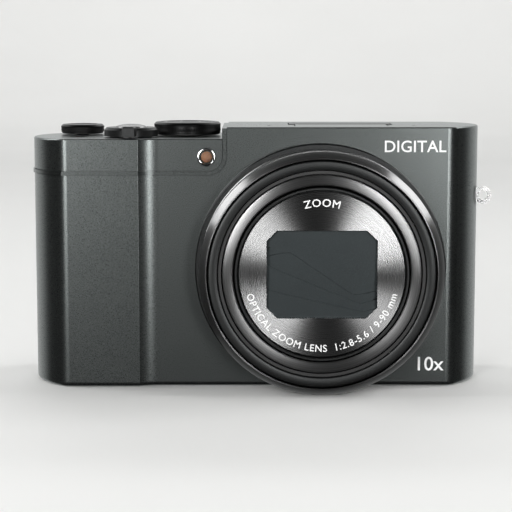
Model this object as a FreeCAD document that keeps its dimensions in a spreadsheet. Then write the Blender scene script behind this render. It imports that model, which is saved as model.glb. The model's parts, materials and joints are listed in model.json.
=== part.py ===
import FreeCAD, Part
import math
import os
import types

import Sketcher

# Compact digital camera with a retracting zoom lens, in millimetres.
# +X is to the right as the lens side is seen, the lens looks along -Y and +Z is up.
# The origin is the mouth of the tripod socket, on the plane that the camera stands on.

Vector = FreeCAD.Vector
Rotation = FreeCAD.Rotation

SIZES = {
    # casing
    "half_width": 55.25, "front_face": 15.0, "grip_face": 16.2, "rear_face": 14.0,
    "end_arc": 17.83, "wall": 1.3, "corner_round": 4.0, "bottom_round": 1.2, "top_round": 0.4,
    "raised_top": 63.6, "deck_top": 60.8, "plate": 1.2, "base_plate": 1.4,
    "grip_foot": 23.6, "bend_radius": 10.65, "ridge_round": 0.35, "casing_seam": 9.0,
    # trim strip between the deck and the front
    "strip_high": 53.1, "strip_left": 8.2, "strip_width": 1.2,
    "strip_bend": 3.4, "strip_proud": 0.3, "strip_gap": 0.15, "strip_groove": 0.35,
    # lens: forward distances are measured from Y = 0 towards the subject
    "lens_across": 15.6, "lens_height": 29.35,
    "flange_radius": 30.4, "flange_front": 17.4, "flange_inner": 26.4,
    "ring_radius": 29.1, "ring_inner": 27.3, "ring_back": 17.7, "ring_grip_end": 26.3,
    "ring_lip": 27.6, "lens_front": 28.0,
    "satin_outer": 27.0, "satin_inner": 24.7, "satin_front": 27.7,
    "fixed_outer": 24.6, "fixed_inner": 23.9, "fixed_front": 26.8, "fixed_back": 3.2,
    "stage1_outer": 23.6, "stage1_inner": 21.3, "stage1_lip": 21.05, "stage1_front": 27.1,
    "stage2_outer": 20.75, "stage2_inner": 20.0, "stage2_front": 27.4, "stage_back": 2.0,
    "plate_radius": 19.7, "plate_front": 27.0, "plate_back": 26.0,
    "window_half_width": 13.05, "window_half_height": 10.4, "window_corner": 2.4,
    # lens barrier
    "leaf_radius": 19.6, "leaf_thick": 0.25, "leaf_gap": 0.1, "leaf_first": 24.85,
    "pivot_across": 17.0, "pivot_drop": 3.2, "pin_radius": 0.5, "pin_hole": 0.6,
    "arm_side": 13.9, "leaf_end": 13.5, "arm_foot": 4.6,
    "barrier_floor": 24.5, "lens_hole": 9.2, "glass_radius": 9.1,
    # controls on the deck
    "control_base": 61.1, "shaft_end": 56.5,
    "mode_x": 17.2, "mode_y": 1.5, "mode_radius": 8.4, "mode_top": 64.2,
    "lever_x": 30.75, "lever_y": 6.5, "lever_radius": 6.6, "lever_top": 63.2,
    "hub_radius": 5.2, "shutter_radius": 3.7, "shutter_top": 64.0,
    "dial_x": 44.0, "dial_y": 6.0, "dial_radius": 5.5, "dial_top": 63.4,
    "movie_y": 5.5, "movie_radius": 2.5,
    # rear controls
    "nav_x": 35.0, "nav_z": 22.0, "nav_radius": 9.0, "nav_inner": 4.6, "set_radius": 4.3,
    "button_radius": 2.6, "button_proud": 0.9,
    # flash
    "flash_left": 9.7, "flash_right": 32.3, "flash_front": 10.0, "flash_back": 1.0,
    "flash_floor": 58.6, "flash_pivot_y": 6.0, "flash_pivot_z": 62.3, "head_pivot_y": 2.5, "flash_pin": 0.6,
    # sockets and small parts
    "tripod_wall": 2.6, "tripod_outer": 4.2, "tripod_depth": 5.2,
    "lug_x": 56.75, "lug_y": 1.0, "lug_z": 46.0, "lug_radius": 2.2, "lug_hole": 1.1,
    "lamp_x": 12.0, "lamp_z": 56.35, "lamp_radius": 2.2,
    "fit": 0.1,
}


class Size:
    """A length that remembers the sheet formula it comes from."""

    def __init__(self, value, formula):
        self.value = float(value)
        self.formula = formula

    def __float__(self):
        return self.value

    def __neg__(self):
        return Size(-self.value, f"(-1 * {self.formula})")

    def __add__(self, other):
        other = as_size(other)
        return Size(self.value + other.value, f"({self.formula} + {other.formula})")

    def __sub__(self, other):
        return self + (-as_size(other))

    def __mul__(self, other):
        other = as_size(other)
        return Size(self.value * other.value, f"({self.formula} * {other.formula})")

    def __truediv__(self, other):
        other = as_size(other)
        return Size(self.value / other.value, f"({self.formula} / {other.formula})")

    def __radd__(self, other):
        return as_size(other) + self

    def __rsub__(self, other):
        return as_size(other) - self

    __rmul__ = __mul__


def as_size(number):
    return number if isinstance(number, Size) else Size(number, f"({float(number):.6f})")


def root(size):
    return Size(math.sqrt(size.value), f"sqrt({size.formula})")


doc = FreeCAD.newDocument("compact_camera")
sheet = doc.addObject("Spreadsheet::Sheet", "Sizes")
for row, (alias, number) in enumerate(SIZES.items(), start=1):
    sheet.set(f"A{row}", alias)
    sheet.set(f"B{row}", str(number))
    sheet.setAlias(f"B{row}", alias)
doc.recompute()
dim = types.SimpleNamespace(
    **{alias: Size(number, f"Sizes.{alias}") for alias, number in SIZES.items()}
)

nodes = {}


# ---------------------------------------------------------------- building blocks

def bind(item, path, size):
    size = as_size(size)
    setattr(item, path, size.value)
    item.setExpression(path, size.formula)


def place(item, x, y, z, turn=Rotation()):
    item.Placement = FreeCAD.Placement(Vector(float(x), float(y), float(z)), turn)
    for letter, size in zip("xyz", (x, y, z)):
        item.setExpression(f"Placement.Base.{letter}", as_size(size).formula)
    return item


def box(x_span, y_span, z_span):
    block = doc.addObject("Part::Box", "Block")
    for path, (low, high) in zip(("Length", "Width", "Height"), (x_span, y_span, z_span)):
        bind(block, path, high - low)
    return place(block, x_span[0], y_span[0], z_span[0])


def rod(axis, radius, span, across, along):
    """Cylinder along x, y or z; across and along are its centre in the two other axes."""
    cylinder = doc.addObject("Part::Cylinder", "Rod")
    bind(cylinder, "Radius", radius)
    bind(cylinder, "Height", span[1] - span[0])
    if axis == "z":
        return place(cylinder, across, along, span[0])
    if axis == "y":
        return place(cylinder, across, span[0], along, Rotation(Vector(1, 0, 0), -90))
    return place(cylinder, span[0], across, along, Rotation(Vector(0, 1, 0), 90))


def fuse(*items):
    joined = doc.addObject("Part::MultiFuse", "Joined")
    joined.Shapes = list(items)
    return joined


def cut(base, *tools):
    result = doc.addObject("Part::Cut", "Trimmed")
    result.Base = base
    result.Tool = tools[0] if len(tools) == 1 else fuse(*tools)
    return result


def common(*items):
    shared = doc.addObject("Part::MultiCommon", "Shared")
    shared.Shapes = list(items)
    return shared


def group(*items):
    """Several separate solids that make up one node."""
    compound = doc.addObject("Part::Compound", "Group")
    compound.Links = list(items)
    return compound


def node(name, item):
    item.Label = name
    nodes[name] = item
    return item


def arc_between(start, end, radius):
    """Arc from start to end. A positive radius has its centre on the left of the way walked."""
    chord = end - start
    left = Vector(-chord.y, chord.x, 0).normalize()
    reach = math.sqrt(radius ** 2 - (chord.Length / 2) ** 2)
    centre = (start + end) / 2 + left * math.copysign(reach, radius)
    first, last = (start, end) if radius > 0 else (end, start)
    angles = [math.atan2(point.y - centre.y, point.x - centre.x) for point in (first, last)]
    circle = Part.Circle(centre, Vector(0, 0, 1), abs(radius))
    return Part.ArcOfCircle(circle, angles[0], angles[1])


def draw(sketch, corners):
    """Closed outline through corners (x, y) or (x, y, radius of the arc to the next corner)."""
    points = [Vector(float(corner[0]), float(corner[1]), 0) for corner in corners]
    starts = []
    for index, corner in enumerate(corners):
        end = points[(index + 1) % len(points)]
        if len(corner) == 2:
            sketch.addGeometry(Part.LineSegment(points[index], end), False)
            starts.append(1)
        else:
            radius = float(corner[2])
            sketch.addGeometry(arc_between(points[index], end, radius), False)
            starts.append(1 if radius > 0 else 2)
    for index, corner in enumerate(corners):
        following = (index + 1) % len(corners)
        sketch.addConstraint(Sketcher.Constraint(
            "Coincident", index, 3 - starts[index], following, starts[following]))
        for kind, size in zip(("DistanceX", "DistanceY"), corner[:2]):
            drive(sketch, kind, size, -1, 1, index, starts[index])
        if len(corner) == 3:
            radius = corner[2] if float(corner[2]) > 0 else -as_size(corner[2])
            drive(sketch, "Radius", radius, index)


def drive(sketch, kind, size, *places):
    size = as_size(size)
    number = sketch.addConstraint(Sketcher.Constraint(kind, *places, size.value))
    sketch.setExpression(f"Constraints[{number}]", size.formula)


def origin_plane(body, role):
    return next(item for item in body.Origin.OriginFeatures if item.Role == role)


def sketch_in(body, role, corners):
    sketch = body.newObject("Sketcher::SketchObject", "Outline")
    sketch.AttachmentSupport = (origin_plane(body, role), [""])
    sketch.MapMode = "FlatFace"
    draw(sketch, corners)
    return sketch


def prism(corners, span, along="z"):
    """Solid of an outline in X and Y (along z) or in X and Z (along y)."""
    sketch = doc.addObject("Sketcher::SketchObject", "Outline")
    draw(sketch, corners)
    if along == "z":
        place(sketch, 0, 0, span[0])
    else:
        place(sketch, 0, span[0], 0, Rotation(Vector(1, 0, 0), 90))
    solid = doc.addObject("Part::Extrusion", "Prism")
    solid.Base = sketch
    solid.DirMode = "Custom"
    solid.Dir = Vector(0, 0, 1) if along == "z" else Vector(0, 1, 0)
    solid.Solid = True
    bind(solid, "LengthFwd", span[1] - span[0])
    return solid


FACING = {
    "front": Rotation(Vector(1, 0, 0), 90),
    "up": Rotation(),
    "back": Rotation(Vector(1, 0, 0), -90),
}


def turned(profile, x, y, z, facing):
    """Lathe-turned body: profile holds (radius, distance along the axis) corners."""
    body = doc.addObject("PartDesign::Body", "Turned")
    sketch = sketch_in(body, "XZ_Plane", profile)
    spin = body.newObject("PartDesign::Revolution", "Spin")
    spin.Profile = sketch
    spin.ReferenceAxis = (sketch, ["V_Axis"])
    spin.Angle = 360
    body.Tip = spin
    return place(body, x, y, z, FACING[facing])


def on_lens_axis(profile):
    return turned(profile, dim.lens_across, 0, dim.lens_height, "front")


def sleeve(outer, inner, back, front):
    """Plain tube on the lens axis, between two forward distances."""
    return on_lens_axis([(inner, back), (outer, back), (outer, front), (inner, front)])


def padded(corners, role, length, rounds=()):
    """Padded body with rounded edges: rounds holds (radius, test of an edge)."""
    body = doc.addObject("PartDesign::Body", "Padded")
    feature = body.newObject("PartDesign::Pad", "Pad")
    sketch = sketch_in(body, role, corners)
    feature.Profile = sketch
    bind(feature, "Length", length)
    body.Tip = feature
    for radius, test in rounds:
        doc.recompute()
        names = [f"Edge{number}" for number, edge in enumerate(feature.Shape.Edges, start=1)
                 if test(edge)]
        rounding = body.newObject("PartDesign::Fillet", "Round")
        rounding.Base = (feature, names)
        bind(rounding, "Radius", radius)
        body.Tip = rounding
        feature = rounding
    return body


def is_upright(edge):
    low, high = edge.BoundBox.ZMin, edge.BoundBox.ZMax
    return edge.BoundBox.XLength < 0.01 and edge.BoundBox.YLength < 0.01 and high - low > 1


def lies_at(height):
    def test(edge):
        bounds = edge.BoundBox
        return abs(bounds.ZMin - float(height)) < 0.01 and abs(bounds.ZMax - float(height)) < 0.01
    return test


# ---------------------------------------------------------------- casing

def plan(inset):
    """Outline seen from above, moved inwards by inset: flat faces, round ends and a grip step."""
    radius = dim.end_arc - inset
    front = dim.front_face - inset
    grip = dim.grip_face - inset
    rear = dim.rear_face - inset
    arc_x = dim.half_width - dim.end_arc
    right_y = (dim.rear_face - dim.front_face) / 2
    left_y = (dim.rear_face - dim.grip_face) / 2
    rise = dim.grip_face - dim.front_face
    hollow = dim.bend_radius + inset
    ridge_x = dim.grip_foot + root(hollow * rise * 2 - rise * rise)

    def reach(y, middle):
        return arc_x + root(radius * radius - (y - middle) * (y - middle))

    return [
        (reach(-front, right_y), -front, radius),
        (reach(rear, right_y), rear),
        (-reach(rear, left_y), rear, radius),
        (-reach(-grip, left_y), -grip),
        (-ridge_x, -grip, -hollow),
        (-dim.grip_foot, -front),
    ]


def casing_block(top):
    """Whole outside of the casing up to one height, with its edges rounded."""
    ridge = -float(dim.grip_foot) - 4

    def is_end_corner(edge):
        return is_upright(edge) and not -40 < edge.BoundBox.XMin < 0

    def is_ridge(edge):
        return is_upright(edge) and -40 < edge.BoundBox.XMin < ridge

    rounds = [(dim.corner_round, is_end_corner), (dim.ridge_round, is_ridge),
              (dim.bottom_round, lies_at(0)),
              (dim.top_round, lies_at(top))]
    return padded(plan(0), "XY_Plane", top, rounds)


def strip_path(shift):
    """The bend of the strip, as the arc corners of a profile in X and Z."""
    bend = dim.strip_bend + shift
    centre_x = -dim.strip_left - dim.strip_bend
    centre_z = dim.strip_high + dim.strip_bend
    return (centre_x, centre_z - bend), (centre_x + bend, centre_z), bend


FAR = 60
FRONT_LIMIT = -20
REAR_LIMIT = 20
leg_right = dim.strip_width - dim.strip_left
raised_under = dim.raised_top - dim.plate
deck_under = dim.deck_top - dim.plate
inner_low, inner_side, inner_bend = strip_path(0)
outer_low, outer_side, outer_bend = strip_path(dim.strip_width)
rear_inside = dim.rear_face - dim.wall


def strip_region(span, gap):
    """Band of the trim strip, seen from the front: along the casing, round and up."""
    upper_low, upper_side, upper_bend = strip_path(gap)
    lower_low, lower_side, lower_bend = strip_path(dim.strip_width - gap)
    end_z = dim.raised_top - dim.strip_proud
    return prism([(-FAR, lower_low[1]), (*lower_low, lower_bend), lower_side,
                  (leg_right - gap, end_z), (gap - dim.strip_left, end_z),
                  (*upper_side, -upper_bend), upper_low, (-FAR, upper_low[1])], span, "y")


def below_strip(span):
    """Everything under the strip and to the right of it, seen from the front."""
    return prism([(-FAR, dim.base_plate), (FAR, dim.base_plate), (FAR, raised_under),
                  (leg_right, raised_under), (*outer_side, -outer_bend), outer_low,
                  (-FAR, outer_low[1])], span, "y")


def deck_region(span):
    return prism([(-FAR, inner_low[1]), (*inner_low, inner_bend), inner_side,
                  (-dim.strip_left, FAR + 10), (-FAR, FAR + 10)], span, "y")


def casing_shell():
    return cut(casing_block(dim.raised_top), prism(plan(dim.wall), (-1, dim.raised_top + 1)))


def port_opening(gap):
    return box((-FAR, -50), (gap - 4, 7 - gap), (14 + gap, 34 - gap))


def strap_neck():
    return rod("x", 1.2, (dim.half_width - 2.2, dim.lug_x - 1.5), -dim.lug_y, dim.lug_z)


def make_front_casing():
    body = common(casing_shell(), below_strip((FRONT_LIMIT, dim.casing_seam)))
    lens_opening = rod("y", dim.satin_outer, (FRONT_LIMIT, -10), dim.lens_across, dim.lens_height)
    return cut(body, lens_opening, port_opening(0), strap_neck())


def make_rear_casing():
    body = common(casing_shell(), below_strip((dim.casing_seam, REAR_LIMIT)))
    wall_span = (10, REAR_LIMIT)
    openings = [box((-18.5, 46.5), wall_span, (5, 50)), box((37, 45), wall_span, (55, 61)),
                box((17.7, 23.3), wall_span, (54.2, 59.8)),
                rod("y", 1.3, wall_span, 27.8, 57.5)]
    openings.append(rod("y", dim.nav_radius + 0.15, wall_span, -dim.nav_x, dim.nav_z))
    for x, z in REAR_BUTTONS.values():
        openings.append(rod("y", dim.button_radius + dim.fit, wall_span, x, z))
    return cut(body, *openings)


REAR_BUTTONS = {
    "view_button": (-27.5, 35.2), "play_button": (-42.5, 35.2),
    "display_button": (-42.5, 8.8), "menu_button": (-27.5, 8.8),
}


def make_top_cover():
    """Raised lid with the flash well under it; lugs in the well carry the flash arm's rod."""
    lid = common(casing_block(dim.raised_top),
                 box((leg_right, FAR), (FRONT_LIMIT, REAR_LIMIT), (raised_under, 65)))
    well = cut(box((6.5, 35.5), (-11.5, 8.7), (56.8, raised_under)),
               box((8, 34), (-10.3, 7.5), (57.6, 65)))
    mouth = [box((9.4, 32.6), (-10.3, 7.5), (raised_under - 1, 65)),
             box((8, 34), (-3.6, 7.5), (raised_under - 1, 65))]
    pierced = [rod("z", 0.45, (60, 65), x, y) for x in (3.2, 38.8) for y in (-7.5, -5.8)]
    hinge_rod = rod("x", dim.flash_pin, (7, 35), dim.flash_pivot_y, dim.flash_pivot_z)
    return fuse(cut(lid, *mouth, *pierced), well, hinge_rod)


def make_deck_cover():
    shell = cut(casing_block(dim.deck_top), prism(plan(dim.wall), (-1, deck_under)))
    lid_span = (deck_under - 1, dim.deck_top + 1)
    holes = [rod("z", 2.1, lid_span, -dim.mode_x, dim.mode_y),
             rod("z", dim.hub_radius + dim.fit, lid_span, -dim.lever_x, -dim.lever_y),
             rod("z", 1.6, lid_span, -dim.dial_x, dim.dial_y),
             rod("z", dim.movie_radius + dim.fit, lid_span, -dim.dial_x, -dim.movie_y),
             box((-34.5, -28.3), (7, 9), lid_span)]
    lamp = rod("y", dim.lamp_radius + 0.05, (FRONT_LIMIT, -10), -dim.lamp_x, dim.lamp_z)
    return cut(common(shell, deck_region((FRONT_LIMIT, REAR_LIMIT))), lamp, *holes)


def strip_layer(depth, gap):
    """The strip from one depth under the surface inwards, with a gap along both edges."""
    outside = prism(plan(depth), (50, 64))
    band = cut(outside, prism(plan(dim.wall), (49, 65)))
    leg = common(outside, box((inner_side[0] - 1.5, leg_right + 1), (FRONT_LIMIT, REAR_LIMIT),
                              (56.9, 64)))
    return common(fuse(band, leg), strip_region((FRONT_LIMIT, REAR_LIMIT), gap))


def make_trim_strip():
    """Proud of the casing, with a fine groove along both edges."""
    return fuse(strip_layer(-dim.strip_proud, dim.strip_gap), strip_layer(dim.strip_groove, 0))


SCREWS = [(46, -6), (32, 10.6), (-12, -10.5), (-12, 10.6)]


def make_base_plate():
    plate = common(casing_block(dim.raised_top),
                   box((-FAR, FAR), (FRONT_LIMIT, REAR_LIMIT), (-1, dim.base_plate)))
    holes = [rod("z", dim.tripod_outer, (-1, 2), 0, 0), box((-47, -19.2), (-12.6, 12.2), (-1, 2))]
    holes += [rod("z", 1.5, (-1, 2), x, y) for x, y in SCREWS]
    return cut(plate, *holes)


def make_casing_screws():
    screws = []
    for x, y in SCREWS:
        head = rod("z", 1.5, (0.3, 1.4), x, y)
        shank = rod("z", 0.8, (1.3, 3.6), x, y)
        socket = [box((x - 0.75, x + 0.75), (y - 0.18, y + 0.18), (0.2, 0.8)),
                  box((x - 0.18, x + 0.18), (y - 0.75, y + 0.75), (0.2, 0.8))]
        screws.append(cut(fuse(head, shank), *socket))
    return group(*screws)


def make_tripod_socket():
    return turned([(dim.tripod_wall, 0), (dim.tripod_outer, 0), (dim.tripod_outer, 6.2),
                   (0, 6.2), (0, dim.tripod_depth), (dim.tripod_wall, dim.tripod_depth)],
                  0, 0, 0, "up")


def make_strap_lug():
    eye = rod("y", dim.lug_radius, (-dim.lug_y - 0.8, 0.8 - dim.lug_y), dim.lug_x, dim.lug_z)
    hole = rod("y", dim.lug_hole, (-5, 5), dim.lug_x, dim.lug_z)
    clearance = box((dim.lug_x - 3, dim.half_width), (-5, 5), (40, 50))
    return fuse(cut(eye, hole, clearance), cut(strap_neck(), hole))


# ---------------------------------------------------------------- inside the casing

def make_chassis():
    plate = box((-18, 50), (3.2, 4), (2.5, 51.5))
    window = box((dim.lens_across - 9, dim.lens_across + 9), (3, 5),
                 (dim.lens_height - 7, dim.lens_height + 7))
    socket_notch = box((-4.8, 4.8), (3, 5), (2, 6.8))
    feet = [box((x, x + 4), (3.2, 8), (1.4, 2.5)) for x in (-16, 26, 44)]
    return fuse(cut(plate, window, socket_notch), *feet)


def make_image_sensor():
    carrier = box((dim.lens_across - 10.5, dim.lens_across + 10.5), (4, 5.2),
                  (dim.lens_height - 8.5, dim.lens_height + 8.5))
    chip = box((dim.lens_across - 7.5, dim.lens_across + 7.5), (3.4, 4),
               (dim.lens_height - 5.5, dim.lens_height + 5.5))
    return fuse(carrier, chip)


def make_main_board():
    board = box((-18, 50), (6.4, 7.4), (4, 50.5))
    chips = [box((x, x + wide), (5.4, 6.4), (z, z + tall))
             for x, z, wide, tall in ((-14, 30, 12, 12), (-13, 10, 8, 10), (36, 32, 10, 8),
                                      (34, 8, 12, 5))]
    return fuse(board, *chips)


def make_battery_chamber():
    """Moulded wells for the battery and, beside it, for the memory card, open at the bottom."""
    battery_well = cut(box((-46.8, -23), (-10.8, 6.8), (1.6, 45)),
                       box((-46.1, -23.7), (-10.1, 6.1), (1, 44.2)))
    card_well = cut(box((-23, -19.3), (-12.8, 12.4), (1.6, 37)),
                    box((-22.4, -19.7), (-12.3, 11.9), (1, 36.4)))
    return fuse(battery_well, card_well)


def make_memory_card():
    return prism([(-12.2, 2.4), (11.8, 2.4), (11.8, 34.4), (-8.0, 34.4), (-12.2, 30.2)],
                 (0, 2.1), "y")


def make_port_board():
    board = box((-47.7, -47.0), (-3.5, 6.2), (13, 35))
    sockets = [cut(box((-51.5, -47.7), (-2.6, 4.6), (low, high)),
                   box((-52, -48.7), (-2.0, 4.0), (low + 0.5, high - 0.5)))
               for low, high in ((15.5, 19.5), (23, 31))]
    return fuse(board, *sockets)


def make_zoom_motor():
    motor = rod("y", 4, (-8, 1), -13.2, 9.5)
    shaft = rod("y", 0.6, (-11.5, -8), -13.2, 9.5)
    pinion = rod("y", 1.6, (-11.2, -8.6), -13.2, 9.5)
    return fuse(motor, shaft, pinion)


def make_lcd_glass():
    return padded([(-18.4, 5.1), (46.4, 5.1), (46.4, 49.9), (-18.4, 49.9)], "XZ_Plane", 1.9,
                  [(1.2, lambda edge: edge.BoundBox.YLength > 1)])


def make_evf_eyecup():
    frame = padded([(34.2, 53.4), (47.6, 53.4), (47.6, 62.6), (34.2, 62.6)], "XZ_Plane", 2.3,
                   [(1.6, lambda edge: edge.BoundBox.YLength > 2)])
    place(frame, 0, dim.rear_face + 2.3, 0)
    return cut(frame, box((37, 45), (13, 17), (55, 61)))


def make_thumb_grip():
    pad = padded([(-46.5, 39), (-28, 39), (-28, 51.5), (-46.5, 51.5)], "XZ_Plane", 2,
                 [(2.5, lambda edge: edge.BoundBox.YLength > 1.9)])
    return place(pad, 0, dim.rear_face + 2, 0)


def make_casing():
    node("front_casing", make_front_casing())
    node("rear_casing", make_rear_casing())
    node("top_cover", make_top_cover())
    node("deck_cover", make_deck_cover())
    node("trim_strip", make_trim_strip())
    node("base_plate", make_base_plate())
    node("casing_screws", make_casing_screws())
    node("tripod_socket", make_tripod_socket())
    node("strap_lug", make_strap_lug())
    node("thumb_grip", make_thumb_grip())
    node("af_lamp_lens", turned([(0, 0), (2.2, 0), (2.2, 0.9), (1.7, 1.2), (0, 1.35)],
                                -dim.lamp_x, -dim.front_face + 0.9, dim.lamp_z, "front"))
    node("af_lamp_led", rod("y", 1.3, (-13.9, -12.4), -dim.lamp_x, dim.lamp_z))
    node("evf_eyecup", make_evf_eyecup())
    node("evf_lens", box((37.1, 44.9), (13, 14.2), (55.1, 60.9)))


def make_inside():
    node("chassis", make_chassis())
    node("image_sensor", make_image_sensor())
    node("main_board", make_main_board())
    node("battery", box((-46, -23.8), (-10, 6), (3, 44)))
    node("battery_chamber", make_battery_chamber())
    card = node("memory_card", make_memory_card())
    place(card, -20.0, 0, 0, Rotation(Vector(0, 0, 1), 90))
    node("port_board", make_port_board())
    node("zoom_motor", make_zoom_motor())
    node("lcd_panel", box((-17, 45), (9.4, 12), (6.5, 48.5)))
    place(node("lcd_glass", make_lcd_glass()), 0, dim.rear_face + 0.1, 0)
    node("evf_module", box((36.3, 45.7), (-8, 12.6), (54.8, 61.8)))


# ---------------------------------------------------------------- lens

def make_lens_flange():
    flange = sleeve(dim.flange_radius, dim.flange_inner, dim.front_face, dim.flange_front)
    below = box((-FAR, FAR), (FRONT_LIMIT, 0), (-5, 0.4))
    return cut(flange, below)


def make_control_ring():
    """Turning ring with a recessed grip band and a bevelled front."""
    profile = [(dim.ring_inner, dim.ring_back), (dim.ring_radius, dim.ring_back),
               (dim.ring_radius, dim.ring_back + 1.2), (28.5, dim.ring_back + 1.4),
               (28.5, dim.ring_grip_end - 1.4), (dim.ring_radius, dim.ring_grip_end - 1.2),
               (dim.ring_radius, dim.ring_grip_end), (dim.ring_lip, dim.lens_front),
               (dim.ring_inner, dim.lens_front)]
    return on_lens_axis(profile)


def make_satin_ring():
    """Fixed sleeve that the control ring turns on; its flat front face is satin finished."""
    return on_lens_axis([
        (dim.satin_inner, dim.front_face - 1.2), (dim.satin_outer, dim.front_face - 1.2),
        (dim.satin_outer, dim.front_face), (26.4, dim.front_face), (26.4, dim.flange_front + 2),
        (dim.satin_outer, dim.flange_front + 2), (dim.satin_outer, dim.satin_front - 0.3),
        (dim.satin_outer - 0.3, dim.satin_front), (dim.satin_inner + 0.2, dim.satin_front),
        (dim.satin_inner, dim.satin_front - 0.2)])


def make_fixed_barrel():
    tube = [(dim.fixed_inner, -dim.fixed_back), (dim.fixed_outer, -dim.fixed_back),
            (dim.fixed_outer, dim.fixed_front), (dim.fixed_inner, dim.fixed_front)]
    return on_lens_axis(tube)


def make_stage_1():
    return on_lens_axis([
        (dim.stage1_inner, -dim.stage_back), (dim.stage1_outer, -dim.stage_back),
        (dim.stage1_outer, dim.stage1_front - 0.4), (dim.stage1_outer - 0.4, dim.stage1_front),
        (dim.stage1_lip + 0.3, dim.stage1_front), (dim.stage1_lip, dim.stage1_front - 0.3),
        (dim.stage1_lip, dim.stage1_front - 1.6), (dim.stage1_inner, dim.stage1_front - 1.6)])


def make_stage_2():
    """Inner barrel with the floor that the barrier leaves slide on and their two pivot pins."""
    tube = on_lens_axis([
        (dim.stage2_inner, 1 - dim.stage_back), (dim.stage2_outer, 1 - dim.stage_back),
        (dim.stage2_outer, dim.stage2_front - 0.2), (dim.stage2_outer - 0.2, dim.stage2_front),
        (dim.stage2_inner, dim.stage2_front), (dim.stage2_inner, dim.barrier_floor),
        (dim.lens_hole, dim.barrier_floor), (dim.lens_hole, dim.barrier_floor - 0.9),
        (dim.stage2_inner, dim.barrier_floor - 0.9)])
    pins = [rod("y", dim.pin_radius, (-dim.plate_back, -dim.barrier_floor),
                dim.lens_across + side * dim.pivot_across,
                dim.lens_height + side * dim.pivot_drop) for side in (-1, 1)]
    return fuse(tube, *pins)


def make_nameplate():
    """Front disc with the barrier window: a rectangle with its corners cut off."""
    disc = on_lens_axis([
        (0, dim.plate_back), (dim.plate_radius, dim.plate_back),
        (dim.plate_radius, dim.plate_front - 0.2), (dim.plate_radius - 0.2, dim.plate_front),
        (0, dim.plate_front)])
    wide, tall, corner = dim.window_half_width, dim.window_half_height, dim.window_corner
    window = prism([
        (dim.lens_across - wide + corner, dim.lens_height - tall),
        (dim.lens_across + wide - corner, dim.lens_height - tall),
        (dim.lens_across + wide, dim.lens_height - tall + corner),
        (dim.lens_across + wide, dim.lens_height + tall - corner),
        (dim.lens_across + wide - corner, dim.lens_height + tall),
        (dim.lens_across - wide + corner, dim.lens_height + tall),
        (dim.lens_across - wide, dim.lens_height + tall - corner),
        (dim.lens_across - wide, dim.lens_height - tall + corner)], (-30, -20), "y")
    return cut(disc, window)


def make_front_lens():
    return on_lens_axis([(0, 17), (dim.glass_radius, 19), (dim.glass_radius, 22.8, 24),
                         (1.5, 24.4), (0, 24.4)])


# Lower edges of the three upper leaves, left to right, seen from the front and measured from
# the lens axis. The two lowest leaves meet along a line that half a turn maps onto itself.
LEAVES = {
    1: {"edge": [(-9.8, 4.9), (-7.5, 5.0), (-6.7, 4.6), (6.7, -4.6), (7.5, -5.0), (9.8, -4.9)],
        "left": 4.0, "right": -4.0, "opens": 33.0},
    2: {"edge": [(-9.5, 7.1), (-7.5, 6.6)], "left": 5.9, "right": -2.2, "opens": 22.0},
    3: {"edge": [(-9.8, 9.0), (-8.1, 8.7)], "left": 8.1, "right": 3.7, "opens": 13.0},
}
HALF_TURN = Rotation(Vector(0, 1, 0), 180)


def make_leaf(number):
    """Upper barrier leaf: it stays inside the barrel both when shut and when open."""
    leaf = LEAVES[number]
    back = dim.leaf_first + (dim.leaf_thick + dim.leaf_gap) * (number - 1)
    centre_x, centre_z = dim.lens_across, dim.lens_height
    clearance = 0.03
    span = (-back - dim.leaf_thick, -back)
    outline = [(-dim.arm_side, leaf["left"]), *leaf["edge"], (dim.leaf_end, leaf["right"]),
               (dim.leaf_end, 20), (-20, 20), (-20, -dim.arm_foot), (-15.2, -dim.arm_foot),
               (-dim.arm_side, -2)]
    plate = prism([(centre_x + x, centre_z + clearance + z) for x, z in outline], span, "y")
    shut = rod("y", dim.leaf_radius, span, centre_x, centre_z)
    # the barrel's disc as the open leaf meets it, turned back about the pivot
    angle = math.radians(-leaf["opens"])
    turned_x = dim.pivot_across * math.cos(angle) - dim.pivot_drop * math.sin(angle)
    turned_z = dim.pivot_across * math.sin(angle) + dim.pivot_drop * math.cos(angle)
    opened = rod("y", dim.leaf_radius, span, centre_x - dim.pivot_across + turned_x,
                 centre_z - dim.pivot_drop + turned_z)
    hole = rod("y", dim.pin_hole, (-30, -20), centre_x - dim.pivot_across,
               centre_z - dim.pivot_drop)
    return cut(common(plate, shut, opened), hole)


def make_lower_leaf(number):
    """The upper leaf turned half round about the lens axis."""
    leaf = group(make_leaf(number))
    return place(leaf, 2 * dim.lens_across, 0, 2 * dim.lens_height, HALF_TURN)


def make_lens():
    node("lens_flange", make_lens_flange())
    node("lens_front_ring", make_satin_ring())
    node("lens_fixed_barrel", make_fixed_barrel())
    node("control_ring", make_control_ring())
    node("lens_barrel_1", make_stage_1())
    node("lens_barrel_2", make_stage_2())
    node("nameplate", make_nameplate())
    node("front_lens", make_front_lens())
    for number in LEAVES:
        node(f"barrier_leaf_upper_{number}", make_leaf(number))
        node(f"barrier_leaf_lower_{number}", make_lower_leaf(number))


# ---------------------------------------------------------------- controls

def make_dial(radius, top, shaft, x, y):
    """Dial on a shaft that goes down through the deck."""
    return turned([(0, dim.shaft_end), (shaft, dim.shaft_end), (shaft, dim.control_base),
                   (radius - 0.3, dim.control_base), (radius, dim.control_base + 0.3),
                   (radius, top - 0.5), (radius - 0.5, top), (0, top)], x, y, 0, "up")


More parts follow.
